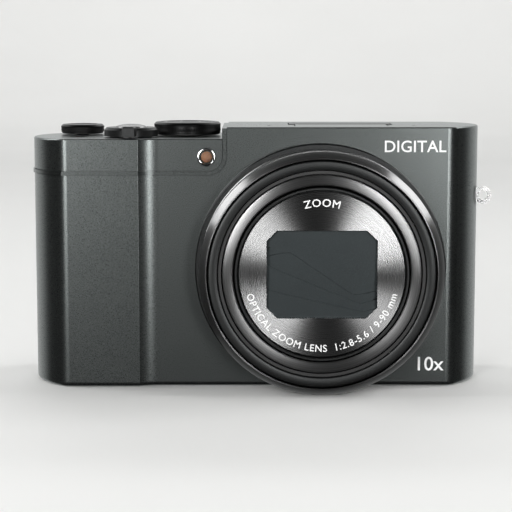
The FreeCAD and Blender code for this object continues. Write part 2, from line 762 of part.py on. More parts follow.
def make_zoom_lever():
    collar = turned([(4.1, 58.9), (dim.hub_radius, 58.9), (dim.hub_radius, dim.control_base),
                     (dim.lever_radius, dim.control_base), (dim.lever_radius, dim.lever_top - 0.6),
                     (dim.lever_radius - 0.6, dim.lever_top), (4.1, dim.lever_top)],
                    -dim.lever_x, -dim.lever_y, 0, "up")
    tab = padded([(-1.4, -9.6), (1.4, -9.6), (1.8, -6.0), (-1.8, -6.0)], "XY_Plane", 2.4,
                 [(0.5, lies_at(2.4))])
    place(tab, -dim.lever_x, -dim.lever_y, dim.control_base + 0.2)
    return fuse(collar, tab)


def make_shutter_button():
    dome = 14
    return turned([(0, 57), (1.5, 57), (1.5, 61.9), (dim.shutter_radius, 61.9),
                   (dim.shutter_radius, 63.2, dome), (0.8, dim.shutter_top),
                   (0, dim.shutter_top)],
                  -dim.lever_x, -dim.lever_y, 0, "up")


def make_power_switch():
    knob = padded([(-33.9, 6.2), (-31.3, 6.2), (-31.3, 9.8), (-33.9, 9.8)], "XY_Plane", 2.2,
                  [(0.5, lies_at(2.2))])
    place(knob, 0, 0, dim.control_base - 0.1)
    stem = box((-33.8, -31.4), (7.2, 8.8), (58.4, dim.control_base))
    return fuse(knob, stem)


def make_movie_button():
    return turned([(0, 58), (1.6, 58), (1.6, 59), (dim.movie_radius, 59), (dim.movie_radius, 60.5),
                   (dim.movie_radius - 0.3, 60.8), (0, 60.8)], -dim.dial_x, -dim.movie_y, 0, "up")


def make_flash_arm():
    """Cover plate and two side links between the rod in the well and the flash head."""
    plate = box((8.3, 33.7), (0, 6), (62.0, dim.raised_top))
    pivot_y, pivot_z = dim.flash_pivot_y, dim.flash_pivot_z
    links = []
    for low in (8.3, 32.7):
        links.append(box((low, low + 1), (-dim.head_pivot_y - 1, pivot_y + 0.9),
                         (pivot_z - 1, pivot_z + 1)))
    barrel = rod("x", 1.2, (9.3, 32.7), pivot_y, pivot_z)
    rod_hole = rod("x", dim.flash_pin + dim.fit, (8, 34), pivot_y, pivot_z)
    pin_hole = rod("x", dim.flash_pin + dim.fit, (8, 34), -dim.head_pivot_y, pivot_z)
    return cut(fuse(plate, *links, barrel), rod_hole, pin_hole)


def make_flash_head():
    span = (-dim.flash_front, -dim.flash_back)
    shell = cut(box((dim.flash_left, dim.flash_right), span, (dim.flash_floor, dim.raised_top)),
                box((12, 30), (-10.5, -8.2), (59.4, 62.8)))
    pins = rod("x", dim.flash_pin, (8.5, 33.5), -dim.head_pivot_y, dim.flash_pivot_z)
    return fuse(shell, pins)


def make_diopter_dial():
    return turned([(0, 11), (1.2, 11), (1.2, 14.15), (2.6, 14.15), (2.6, 15.3), (0, 15.3)],
                  27.8, 0, 57.5, "back")


def make_flash_release():
    knob = box((18.2, 20.8), (dim.rear_face - 0.4, dim.rear_face + 0.9), (54.6, 59.4))
    return fuse(knob, box((18.6, 20.4), (11.5, dim.rear_face), (55.6, 58.4)))


def make_nav_ring():
    front = dim.rear_face + 0.8
    return turned([(dim.nav_inner, 12.4), (dim.nav_radius, 12.4), (dim.nav_radius, front - 0.3),
                   (dim.nav_radius - 0.3, front), (dim.nav_inner, front)],
                  -dim.nav_x, 0, dim.nav_z, "back")


def make_round_button(radius, x, z):
    front = dim.rear_face + dim.button_proud
    return turned([(0, 11.2), (1.2, 11.2), (1.2, 12.8), (radius, 12.8), (radius, front - 0.3),
                   (radius - 0.3, front), (0, front)], x, 0, z, "back")


def make_battery_door():
    door = box((-46.8, -19.4), (-12.4, 12.0), (0, dim.base_plate))
    slot = box((-45.5, -37.0), (-2.2, 2.2), (-1, 1.2))
    return cut(door, slot)


def make_door_latch():
    slider = box((-45.2, -39.6), (-2, 2), (0.3, 1.1))
    grooves = [box((x, x + 0.4), (-1.6, 1.6), (0.2, 0.55)) for x in (-44.4, -43.6, -42.8, -42.0)]
    return cut(slider, *grooves)


def make_controls():
    node("mode_dial", make_dial(dim.mode_radius, dim.mode_top, 2, -dim.mode_x, dim.mode_y))
    node("rear_dial", make_dial(dim.dial_radius, dim.dial_top, 1.5, -dim.dial_x, dim.dial_y))
    node("zoom_lever", make_zoom_lever())
    node("shutter_button", make_shutter_button())
    node("power_switch", make_power_switch())
    node("movie_button", make_movie_button())
    node("flash_arm", make_flash_arm())
    node("flash_head", make_flash_head())
    node("flash_window", box((12, 30), (-9.9, -8.2), (59.4, 62.8)))
    node("flash_release", make_flash_release())
    node("diopter_dial", make_diopter_dial())
    node("nav_ring", make_nav_ring())
    node("set_button", make_round_button(dim.set_radius, -dim.nav_x, dim.nav_z))
    for name, (x, z) in REAR_BUTTONS.items():
        node(name, make_round_button(dim.button_radius, x, z))
    node("battery_door", make_battery_door())
    node("door_latch", make_door_latch())
    node("port_door", common(casing_shell(), port_opening(0.15)))


# ---------------------------------------------------------------- build and export

def check_and_export():
    doc.recompute()
    for item in doc.Objects:
        if "Invalid" in item.State or "Error" in item.State:
            raise RuntimeError(f"{item.Name} ({item.Label}) failed: {item.State}")
    os.makedirs("parts", exist_ok=True)
    for name, item in nodes.items():
        shape = item.Shape
        if shape.isNull() or not shape.isValid() or shape.Volume < 0.1:
            raise RuntimeError(f"{name} has no valid solid")
        shape.exportStep(f"parts/{name}.step")
        bounds = shape.BoundBox
        print(f"{name:24s} solids {len(shape.Solids)}  volume {shape.Volume:9.1f}  "
              f"X {bounds.XMin:6.1f} {bounds.XMax:6.1f}  Y {bounds.YMin:6.1f} {bounds.YMax:6.1f}"
              f"  Z {bounds.ZMin:6.1f} {bounds.ZMax:6.1f}")
    print(len(nodes), "nodes")


make_casing()
make_inside()
make_lens()
make_controls()
check_and_export()
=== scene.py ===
import json
import math

import bmesh
import bpy
from mathutils import Matrix, Vector


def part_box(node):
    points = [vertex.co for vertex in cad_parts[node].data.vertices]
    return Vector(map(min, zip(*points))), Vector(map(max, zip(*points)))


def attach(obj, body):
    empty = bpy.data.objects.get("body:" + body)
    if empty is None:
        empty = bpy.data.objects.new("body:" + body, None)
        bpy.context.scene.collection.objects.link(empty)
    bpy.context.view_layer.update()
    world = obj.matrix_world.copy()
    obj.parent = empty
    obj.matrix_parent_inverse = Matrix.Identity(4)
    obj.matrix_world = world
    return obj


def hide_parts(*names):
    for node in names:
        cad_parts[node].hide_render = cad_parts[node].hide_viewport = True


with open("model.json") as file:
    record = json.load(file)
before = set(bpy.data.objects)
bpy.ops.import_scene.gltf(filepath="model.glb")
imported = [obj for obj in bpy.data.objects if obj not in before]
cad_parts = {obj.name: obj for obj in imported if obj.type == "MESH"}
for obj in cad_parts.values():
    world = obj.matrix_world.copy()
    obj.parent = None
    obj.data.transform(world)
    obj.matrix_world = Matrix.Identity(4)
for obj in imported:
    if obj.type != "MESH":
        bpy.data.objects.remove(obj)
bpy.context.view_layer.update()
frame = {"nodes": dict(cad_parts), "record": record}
nodes = frame["nodes"]
record = frame["record"]
MM = 0.001


# ---------------------------------------------------------------- places on the part

def middle(node):
    low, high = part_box(node)
    return (low + high) / 2


LENS = middle("control_ring")
DECK_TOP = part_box("deck_cover")[1].z
# the casing's flat face, which its box doesn't give because the grip stands further out
FRONT_FACE_Y = -0.015


# ---------------------------------------------------------------- shader helpers

class Shader:
    """Small builder for a node material around one Principled shader."""

    def __init__(self, name):
        self.material = bpy.data.materials.new(name)
        self.material.use_nodes = True
        self.tree = self.material.node_tree
        self.principled = self.tree.nodes["Principled BSDF"]

    def add(self, kind, **settings):
        item = self.tree.nodes.new(kind)
        for key, value in settings.items():
            setattr(item, key, value)
        return item

    def link(self, output, target):
        self.tree.links.new(output, target)

    def set(self, **values):
        for key, value in values.items():
            self.principled.inputs[key.replace("_", " ")].default_value = value

    def coordinates(self):
        return self.add("ShaderNodeTexCoord").outputs["Object"]

    def noise(self, scale, detail=2.0, roughness=0.5, vector=None):
        item = self.add("ShaderNodeTexNoise")
        item.inputs["Scale"].default_value = scale
        item.inputs["Detail"].default_value = detail
        item.inputs["Roughness"].default_value = roughness
        self.link(vector or self.coordinates(), item.inputs["Vector"])
        return item.outputs["Fac"]

    def ramp(self, factor, *stops):
        item = self.add("ShaderNodeValToRGB")
        item.color_ramp.elements[0].position = stops[0][0]
        item.color_ramp.elements[1].position = stops[-1][0]
        for place, _ in stops[1:-1]:
            item.color_ramp.elements.new(place)
        for element, (_, color) in zip(item.color_ramp.elements, stops):
            element.color = (*color, 1)
        self.link(factor, item.inputs["Fac"])
        return item.outputs["Color"]

    def spread(self, factor, low, high):
        """A factor of 0 to 1 moved to the range low to high."""
        item = self.add("ShaderNodeMapRange")
        item.inputs["To Min"].default_value = low
        item.inputs["To Max"].default_value = high
        self.link(factor, item.inputs["Value"])
        return item.outputs["Result"]

    def bump(self, height, strength, distance):
        item = self.add("ShaderNodeBump")
        item.inputs["Strength"].default_value = strength
        item.inputs["Distance"].default_value = distance
        self.link(height, item.inputs["Height"])
        self.link(item.outputs["Normal"], self.principled.inputs["Normal"])

    def color(self, output):
        self.link(output, self.principled.inputs["Base Color"])

    def roughness(self, output):
        self.link(output, self.principled.inputs["Roughness"])


def grey(level, tint=(1.0, 1.0, 1.0)):
    return tuple(level * part for part in tint)


def speckled_paint(name, level, tint, roughness=0.42, metallic=0.55, speck=0.35):
    """Satin metallic paint: fine flakes in the colour and a faint orange peel."""
    shader = Shader(name)
    flakes = shader.noise(5200, 2.0, 0.7)
    cloud = shader.noise(60, 3.0)
    fine = shader.add("ShaderNodeMixRGB", blend_type="MULTIPLY")
    fine.inputs["Fac"].default_value = 1.0
    flake_color = shader.ramp(flakes, (0.30, grey(level * (1 - speck), tint)),
                              (0.55, grey(level, tint)), (0.80, grey(level * (1 + 2 * speck), tint)))
    shader.link(flake_color, fine.inputs["Color1"])
    shader.link(shader.ramp(cloud, (0.3, grey(0.94)), (0.7, grey(1.0))), fine.inputs["Color2"])
    shader.color(fine.outputs["Color"])
    shader.roughness(shader.spread(flakes, roughness - 0.06, roughness + 0.08))
    shader.bump(flakes, 0.12, 0.00003)
    shader.set(Metallic=metallic)
    return shader.material


def spun_metal(name, level, axis, centre, roughness=0.30, anisotropy=0.85, lines=1.0):
    """Metal turned on a lathe: fine rings about the centre, which stretch highlights into fans."""
    shader = Shader(name)
    flat = {"y": (1, 0, 1), "z": (1, 1, 0)}[axis]
    moved = shader.add("ShaderNodeVectorMath", operation="SUBTRACT")
    shader.link(shader.coordinates(), moved.inputs[0])
    moved.inputs[1].default_value = centre
    flattened = shader.add("ShaderNodeVectorMath", operation="MULTIPLY")
    shader.link(moved.outputs[0], flattened.inputs[0])
    flattened.inputs[1].default_value = flat
    length = shader.add("ShaderNodeVectorMath", operation="LENGTH")
    shader.link(flattened.outputs[0], length.inputs[0])
    rings = shader.add("ShaderNodeTexNoise", noise_dimensions="1D")
    rings.inputs["Scale"].default_value = 9000
    rings.inputs["Detail"].default_value = 2.0
    shader.link(length.outputs["Value"], rings.inputs["W"])
    ring_factor = rings.outputs["Fac"]
    contrast = 0.35 * lines
    shader.color(shader.ramp(ring_factor, (0.25, grey(level * (1 - contrast))),
                             (0.75, grey(level * (1 + contrast)))))
    shader.roughness(shader.spread(ring_factor, roughness - 0.05, roughness + 0.07))
    unit = shader.add("ShaderNodeVectorMath", operation="NORMALIZE")
    shader.link(flattened.outputs[0], unit.inputs[0])
    shader.link(unit.outputs[0], shader.principled.inputs["Tangent"])
    shader.bump(ring_factor, 0.05 * lines, 0.00002)
    shader.set(Metallic=1.0, Anisotropic=anisotropy)
    return shader.material


def moulded_plastic(name, level, roughness=0.5, grain=900, depth=0.00003, tint=(1, 1, 1)):
    """Plastic with a moulded grain, slightly uneven in shade."""
    shader = Shader(name)
    texture = shader.noise(grain, 3.0)
    shader.color(shader.ramp(shader.noise(70, 3.0), (0.35, grey(level * 0.88, tint)),
                             (0.65, grey(level * 1.12, tint))))
    shader.roughness(shader.spread(texture, roughness - 0.08, roughness + 0.08))
    shader.bump(texture, 0.35, depth)
    return shader.material


def rubber(name, level):
    """Grippy rubber with a fine pebbled surface."""
    shader = Shader(name)
    cells = shader.add("ShaderNodeTexVoronoi")
    cells.inputs["Scale"].default_value = 1500
    shader.link(shader.coordinates(), cells.inputs["Vector"])
    shader.color(shader.ramp(shader.noise(120, 3.0), (0.3, grey(level * 0.8)), (0.7, grey(level * 1.2))))
    shader.roughness(shader.spread(cells.outputs["Distance"], 0.62, 0.8))
    shader.bump(cells.outputs["Distance"], 0.5, 0.00012)
    return shader.material


def brushed_metal(name, level, roughness=0.3):
    """Metal brushed along x."""
    shader = Shader(name)
    stretch = shader.add("ShaderNodeMapping")
    shader.link(shader.coordinates(), stretch.inputs["Vector"])
    stretch.inputs["Scale"].default_value = (1, 30, 30)
    lines = shader.noise(180, 3.0, 0.6, stretch.outputs["Vector"])
    shader.color(shader.ramp(lines, (0.3, grey(level * 0.85)), (0.7, grey(level))))
    shader.roughness(shader.spread(lines, roughness - 0.07, roughness + 0.09))
    shader.set(Metallic=1.0)
    return shader.material


def glass(name, tint):
    """Clear glass with faint smudges."""
    shader = Shader(name)
    smudge = shader.noise(90, 3.0)
    shader.color(shader.ramp(smudge, (0.3, tint), (0.7, grey(0.97, tint))))
    shader.roughness(shader.spread(smudge, 0.02, 0.05))
    shader.set(Transmission_Weight=1.0, IOR=1.5)
    return shader.material


def coated_glass(name, tint):
    """Dark glass whose coating shows a faint colour."""
    shader = Shader(name)
    weight = shader.add("ShaderNodeLayerWeight")
    weight.inputs["Blend"].default_value = 0.35
    shader.color(shader.ramp(weight.outputs["Facing"], (0.0, tint), (0.9, grey(0.02, (0.7, 0.9, 1.4)))))
    shader.roughness(shader.spread(shader.noise(90, 3.0), 0.03, 0.07))
    shader.set(IOR=1.6, Coat_Weight=0.6, Coat_Roughness=0.03)
    return shader.material


def lamp_material(name, color):
    """Glossy coloured plastic of an unlit lamp."""
    shader = Shader(name)
    shader.color(shader.ramp(shader.noise(700, 2.0), (0.3, color), (0.7, (0.40, 0.17, 0.07))))
    shader.set(Roughness=0.25)
    return shader.material


def circuit_board(name):
    """Green solder mask with traces a shade lighter."""
    shader = Shader(name)
    bricks = shader.add("ShaderNodeTexBrick")
    bricks.inputs["Scale"].default_value = 260
    bricks.inputs["Color1"].default_value = (0.01, 0.09, 0.04, 1)
    bricks.inputs["Color2"].default_value = (0.02, 0.13, 0.06, 1)
    bricks.inputs["Mortar"].default_value = (0.2, 0.16, 0.05, 1)
    shader.link(shader.coordinates(), bricks.inputs["Vector"])
    shader.color(bricks.outputs["Color"])
    shader.roughness(shader.spread(shader.noise(300), 0.3, 0.5))
    return shader.material


PAINT_TINT = (0.94, 1.02, 1.0)


def make_materials():
    """One material for each slot of the record."""
    return {
        "charcoal_paint": speckled_paint("charcoal_paint", 0.138, PAINT_TINT, 0.28, 0.95),
        "strip_metal": speckled_paint("strip_paint", 0.12, PAINT_TINT, 0.28, 0.95, 0.3),
        "satin_black_metal": speckled_paint("satin_black_metal", 0.042, (0.97, 1.0, 1.0), 0.36, 0.9, 0.25),
        "spun_black_metal": spun_metal("spun_black_metal", 0.23, "y", LENS),
        "gloss_black": moulded_plastic("gloss_black", 0.012, 0.16, 300, 0.000005),
        "black_plastic": moulded_plastic("black_plastic", 0.018, 0.48),
        "matte_black": spun_metal("nameplate_metal", 0.42, "y", LENS, 0.26, 0.95, 0.4),
        "black_rubber": rubber("black_rubber", 0.02),
        "leaf_paint": speckled_paint("leaf_paint", 0.047, (0.84, 1.0, 1.04), 0.42, 0.8, 0.2),
        "black_screws": brushed_metal("screw_metal", 0.06, 0.35),
        "steel": brushed_metal("steel", 0.55),
        "chrome": brushed_metal("chrome", 0.85, 0.12),
        "clear_lens": glass("clear_lens", (0.95, 0.96, 0.95)),
        "coated_glass": coated_glass("coated_glass", (0.05, 0.015, 0.06)),
        "screen_glass": moulded_plastic("screen_glass", 0.006, 0.11, 60, 0.000002),
        "amber_led": lamp_material("amber_led", (0.22, 0.06, 0.015)),
        "sensor": coated_glass("sensor_glass", (0.02, 0.06, 0.05)),
        "circuit_board": circuit_board("circuit_board"),
        "battery_wrap": moulded_plastic("battery_wrap", 0.06, 0.4),
        "card_plastic": moulded_plastic("card_plastic", 0.05, 0.45, tint=(0.6, 0.8, 2.0)),
    }


materials = make_materials()


def dress_cad_nodes():
    """Gives each CAD node the material of its slot."""
    for part in record["subparts"]:
        mesh = nodes[part["node"]].data
        mesh.materials.clear()
        mesh.materials.append(materials[part["material_slot"]])


dress_cad_nodes()


# ---------------------------------------------------------------- mesh helpers

def new_piece(name, mesh, body, slot, material=None, stands_for=()):
    """Visual piece on a body; its material is the slot's own unless one is given."""
    piece = bpy.data.objects.new(name, mesh)
    bpy.context.scene.collection.objects.link(piece)
    mesh.materials.append(material or materials[slot])
    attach(piece, body)
    if stands_for:
        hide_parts(*stands_for)


def smooth_by_angle(mesh, degrees):
    """Smooth shading that keeps edges sharper than the angle crisp."""
    for face in mesh.polygons:
        face.use_smooth = True
    work = bmesh.new()
    work.from_mesh(mesh)
    limit = math.radians(degrees)
    for edge in work.edges:
        edge.smooth = len(edge.link_faces) == 2 and edge.calc_face_angle(0) < limit
    work.to_mesh(mesh)
    work.free()


AXES = {
    "front": Matrix(((1, 0, 0), (0, 0, -1), (0, 1, 0))),
    "up": Matrix.Identity(3),
}


def ring_point(radius, angle, along, facing, centre):
    """Point at an angle about an axis through the centre; radius and along are in mm."""
    local = Vector((radius * math.cos(angle), radius * math.sin(angle), along)) * MM
    return AXES[facing] @ local + centre


def ring_mesh(name, verts, columns, rows, degrees, merge):
    """Closed surface from columns of points, which joins up both ways; merge closes its poles."""
    faces = []
    for column in range(columns):
        following = (column + 1) % columns
        for row in range(rows):
            below = (row + 1) % rows
            faces.append((column * rows + row, following * rows + row,
                          following * rows + below, column * rows + below))
    mesh = bpy.data.meshes.new(name)
    mesh.from_pydata(verts, [], faces)
    work = bmesh.new()
    work.from_mesh(mesh)
    if merge:
        bmesh.ops.remove_doubles(work, verts=work.verts, dist=1e-7)
        bmesh.ops.dissolve_degenerate(work, edges=work.edges, dist=1e-8)
    bmesh.ops.recalc_face_normals(work, faces=work.faces)
    work.to_mesh(mesh)
    work.free()
    smooth_by_angle(mesh, degrees)
    return mesh


def lathe(name, profile, centre, facing, segments=288, shape=None):
    """Closed ring or disc: profile holds (radius, distance along the axis) pairs in mm.

    shape(row, angle, radius) may move a point in or out, for knurling.
    """
    verts = []
    for step in range(segments):
        angle = 2 * math.pi * step / segments
        for row, (radius, along) in enumerate(profile):
            if shape:
                radius = shape(row, angle, radius)
            verts.append(ring_point(radius, angle, along, facing, centre))
    return ring_mesh(name, verts, segments, len(profile), 32, merge=True)


def axis_point(node, facing):
    """Point on a turned node's axis with zero distance along it."""
    centre = middle(node)
    return Vector((centre.x, centre.y, 0)) if facing == "up" else Vector((centre.x, 0, centre.z))


def span(node, facing):
    """Lowest and highest distance along the axis of a turned node, in mm."""
    low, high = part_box(node)
    if facing == "up":
        return low.z / MM, high.z / MM
    return -high.y / MM, -low.y / MM


def radius_of(node):
    low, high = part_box(node)
    return (high.x - low.x) / 2 / MM


# lathe steps for each tooth of a knurl
STEPS_PER_TOOTH = 6


def knurl(first, last, teeth, depth, rows_between):
    """Diamond knurling between two rows of a profile: two crossed sets of ridges."""
    def shape(row, angle, radius):
        if not first < row < last:
            return radius
        turn = angle * teeth / (2 * math.pi)
        lean = (row - first) / rows_between
        ridge = abs(((turn + lean) % 1) - 0.5) + abs(((turn - lean) % 1) - 0.5)
        return radius - depth * (1 - ridge)
    return shape


# ---------------------------------------------------------------- lens

def make_control_ring():
    """Ring with a diamond-knurled band between two smooth lips and a spun bevel in front."""
    back, front = span("control_ring", "front")
    outer = radius_of("control_ring")
    band_back, band_front = back + 1.3, front - 2.9
    rows = 12
    band = [(outer - 0.02, band_back + (band_front - band_back) * step / rows)
            for step in range(rows + 1)]
    profile = [(outer - 1.8, back), (outer - 0.2, back), (outer, back + 0.15),
               (outer, back + 0.95), (outer - 0.35, back + 1.05), (outer - 0.35, back + 1.2)]
    first = len(profile)
    profile += band
    last = len(profile) - 1
    profile += [(outer - 0.35, front - 2.8), (outer - 0.35, front - 2.6), (outer, front - 2.5),
                (outer, front - 1.75), (outer - 0.06, front - 1.65), (outer - 1.42, front - 0.06),
                (outer - 1.5, front), (outer - 1.72, front), (outer - 1.8, front - 0.1)]
    teeth = 236
    shape = knurl(first - 1, last + 1, teeth, depth=0.34, rows_between=3.0)
    mesh = lathe("control_ring_knurled", profile, axis_point("control_ring", "front"), "front",
                 teeth * STEPS_PER_TOOTH, shape)
    new_piece("control_ring_knurled", mesh, "control_ring", "spun_black_metal",
              stands_for=("control_ring",))


def make_lens_flange():
    """Fixed step behind the ring, grooved round its edge and cut flat below as in the CAD."""
    back, front = span("lens_flange", "front")
    outer = radius_of("lens_flange")
    bore = 26.45
    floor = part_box("lens_flange")[0].z
    profile = [(bore, back), (outer, back), (outer, back + 0.9), (outer - 0.25, back + 1.0),
               (outer - 0.25, back + 1.2), (outer, back + 1.3), (outer, front - 0.3),
               (outer - 0.3, front), (bore, front)]
    mesh = lathe("lens_base_ring", profile, axis_point("control_ring", "front"), "front", 360)
    for vertex in mesh.vertices:
        vertex.co.z = max(vertex.co.z, floor)
    new_piece("lens_base_ring", mesh, "camera_body", "satin_black_metal",
              stands_for=("lens_flange",))


def make_satin_ring():
    """Fixed ring inside the control ring, narrower where it goes through the flange."""
    back, front = span("lens_front_ring", "front")
    outer = radius_of("lens_front_ring")
    waist = 26.4
    profile = [(24.75, back), (outer, back), (outer, back + 1.2), (waist, back + 1.25),
               (waist, back + 5.6), (outer, back + 5.65), (outer, front - 0.25),
               (outer - 0.22, front - 0.03), (outer - 0.3, front), (24.95, front),
               (24.85, front - 0.05), (24.72, front - 0.3), (24.72, front - 5)]
    mesh = lathe("lens_face_ring", profile, axis_point("control_ring", "front"), "front", 360)
    new_piece("lens_face_ring", mesh, "camera_body", "satin_black_metal",
              stands_for=("lens_front_ring",))


def make_barrels():
    """The two moving barrels, each with a fine groove behind its front lip."""
    centre = axis_point("control_ring", "front")
    back, front = span("lens_barrel_1", "front")
    outer = radius_of("lens_barrel_1")
    profile = [(21.3, back), (outer, back), (outer, front - 5.0), (outer - 0.12, front - 4.9),
               (outer - 0.12, front - 4.7), (outer, front - 4.6), (outer, front - 0.35),
               (outer - 0.1, front - 0.1), (outer - 0.35, front), (21.35, front - 0.15),
               (21.1, front - 0.35), (21.1, front - 1.6), (21.3, front - 1.7)]
    mesh = lathe("barrel_1_turned", profile, centre, "front", 360)
    new_piece("barrel_1_turned", mesh, "lens_stage_1", "spun_black_metal",
              stands_for=("lens_barrel_1",))
    back, front = span("lens_barrel_2", "front")
    outer, lens_hole = 20.7, 9.2
    profile = [(20.05, back), (outer, back), (outer, front - 5), (20.6, front - 4.9),
               (20.6, front - 4.7), (outer, front - 4.6), (outer, front - 0.15), (20.55, front),
               (20.2, front), (20.0, front - 0.25), (20.0, front - 2.85),
               (lens_hole, front - 2.9), (lens_hole, front - 3.8), (20.05, front - 3.8)]
    mesh = lathe("barrel_2_turned", profile, centre, "front", 360)
    new_piece("barrel_2_turned", mesh, "lens_stage_2", "satin_black_metal",
              stands_for=("lens_barrel_2",))


def make_nameplate():
    """Spun disc with a chamfered window for the barrier."""
    back, front = span("nameplate", "front")
    outer = radius_of("nameplate")
    centre = axis_point("control_ring", "front")
    half_wide, half_high, corner = 13.05, 10.4, 2.4
    corners = [(half_wide - corner, half_high), (half_wide, half_high - corner),
               (half_wide, corner - half_high), (half_wide - corner, -half_high)]
    corners += [(-x, -z) for x, z in corners]
    steps = 360

    def window_point(angle, grow):
        """Where a ray from the centre leaves the window, grown by a margin."""
        ray = Vector((math.cos(angle), math.sin(angle)))
        reach = 1e9
        for first, second in zip(corners, corners[1:] + corners[:1]):
            edge = Vector(second) - Vector(first)
            normal = Vector((-edge.y, edge.x)).normalized()
            facing = ray.dot(normal)
            if facing > 1e-9:
                reach = min(reach, (Vector(first).dot(normal) + grow) / facing)
        return reach

    rings = [("window", 0.0, back), ("window", 0.0, front - 0.1), ("window", 0.1, front),
             ("round", outer - 0.1, front), ("round", outer, front - 0.1), ("round", outer, back)]
    corner_angles = sorted(math.atan2(z, x) % (2 * math.pi) for x, z in corners)
    angles = sorted({2 * math.pi * step / steps for step in range(steps)} | set(corner_angles))
    verts = []
    for angle in angles:
        for kind, size, along in rings:
            radius = window_point(angle, size) if kind == "window" else size
            verts.append(ring_point(radius, angle, along, "front", centre))
    mesh = ring_mesh("nameplate_spun", verts, len(angles), len(rings), 15, merge=False)
    new_piece("nameplate_spun", mesh, "lens_stage_2", "matte_black", stands_for=("nameplate",))


# ---------------------------------------------------------------- printed marks

def text_mesh(words, height, spacing=1.0):
    """Flat lettering in mm, centred on x = 0 with its feet on y = 0."""
    capital_share, half_thick, weight = 0.73, 0.01, 0.012
    curve = bpy.data.curves.new("lettering", "FONT")
    curve.body = words
    curve.size = height / capital_share
    curve.space_character = spacing
    curve.align_x = "CENTER"
    curve.extrude = half_thick
    curve.offset = weight * height
    curve.resolution_u = 4
    holder = bpy.data.objects.new("lettering", curve)
    bpy.context.scene.collection.objects.link(holder)
    bpy.context.view_layer.update()
    mesh = bpy.data.meshes.new_from_object(holder.evaluated_get(bpy.context.evaluated_depsgraph_get()))
    bpy.data.objects.remove(holder)
    return mesh


def printed(name, mesh, move, body, material):
    """Gives lettering its place with move(x, y, z), and its ink."""
    for vertex in mesh.vertices:
        vertex.co = move(*vertex.co)
    mesh.materials.clear()
    new_piece(name, mesh, body, "card_plastic", material)


def ink(name, level, tint=(1, 1, 1)):
    """Printing ink, slightly uneven in shade."""
    shader = Shader(name)
    shader.color(shader.ramp(shader.noise(900, 2.0), (0.3, grey(level * 0.93, tint)),
                             (0.7, grey(level, tint))))
    shader.set(Roughness=0.45)
    return shader.material


white_ink = ink("white_ink", 0.86)
grey_ink = ink("grey_ink", 0.45)
red_ink = ink("red_ink", 0.5, (1.0, 0.05, 0.04))


def bent_below(radius, centre, forward):
    """Lettering along the bottom of a circle, upright and read from left to right."""
    def move(x, y, z):
        angle = -math.pi / 2 + x / radius
        reach = radius - y
        return centre + Vector((reach * math.cos(angle), 0, reach * math.sin(angle))) * MM \
            + Vector((0, forward - z * MM, 0))
    return move


def bent_above(radius, centre, forward):
    """Lettering along the top of a circle, upright and read from left to right."""
    def move(x, y, z):
        angle = math.pi / 2 - x / radius
        reach = radius + y
        return centre + Vector((reach * math.cos(angle), 0, reach * math.sin(angle))) * MM \
            + Vector((0, forward - z * MM, 0))
    return move


def on_front(x, z, surface_y):
    """Upright lettering on a face that looks forward."""
    def move(dx, dz, out):
        return Vector((x + dx * MM, surface_y - out * MM, z + dz * MM))
    return move


def on_top(x, y, surface_z, turn=0.0):
    """Lettering on a face that looks up, read from the front unless turned."""
    def move(dx, dy, out):
        along = Vector((dx * math.cos(turn) - dy * math.sin(turn),
                        dx * math.sin(turn) + dy * math.cos(turn), 0))
        return Vector((x, y, surface_z + out * MM)) + along * MM
    return move


def on_back(x, z, surface_y):
    """Upright lettering on a face that looks back."""
    def move(dx, dz, out):
        return Vector((x - dx * MM, surface_y + out * MM, z + dz * MM))
    return move


def make_printing():
    """Lettering on the nameplate, the front, the zoom lever and the deck."""
    centre = axis_point("control_ring", "front")
    plate_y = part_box("nameplate")[0].y
    printed("mark_lens_top", text_mesh("ZOOM", 1.85, 1.15), bent_above(16.2, centre, plate_y),
            "lens_stage_2", white_ink)
    words = "OPTICAL ZOOM LENS  1:2.8-5.6 / 9-90 mm"
    printed("mark_lens_bottom", text_mesh(words, 1.75, 1.1), bent_below(18.5, centre, plate_y),
            "lens_stage_2", white_ink)
    word_place, corner_place, power_place = (0.0384, 0.0576), (0.0424, 0.0040), (-0.0313, 0.0104)
    printed("mark_front_word", text_mesh("DIGITAL", 2.9, 1.02),
            on_front(*word_place, FRONT_FACE_Y), "camera_body", white_ink)
    printed("mark_front_corner", text_mesh("10x", 3.5),
            on_front(*corner_place, FRONT_FACE_Y), "camera_body", white_ink)
    lever_x, lever_top = middle("zoom_lever").x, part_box("zoom_lever")[1].z
    reach, lever_mark_y = 0.0053, -0.0071
    for letter, side in (("W", 1), ("T", -1)):
        printed(f"mark_lever_{letter}", text_mesh(letter, 1.1),
                on_top(lever_x - side * reach, lever_mark_y, lever_top), "zoom_lever", white_ink)
    printed("mark_power", text_mesh("ON   OFF", 1.0), on_top(*power_place, DECK_TOP),
            "camera_body", white_ink)


# ---------------------------------------------------------------- controls on the deck

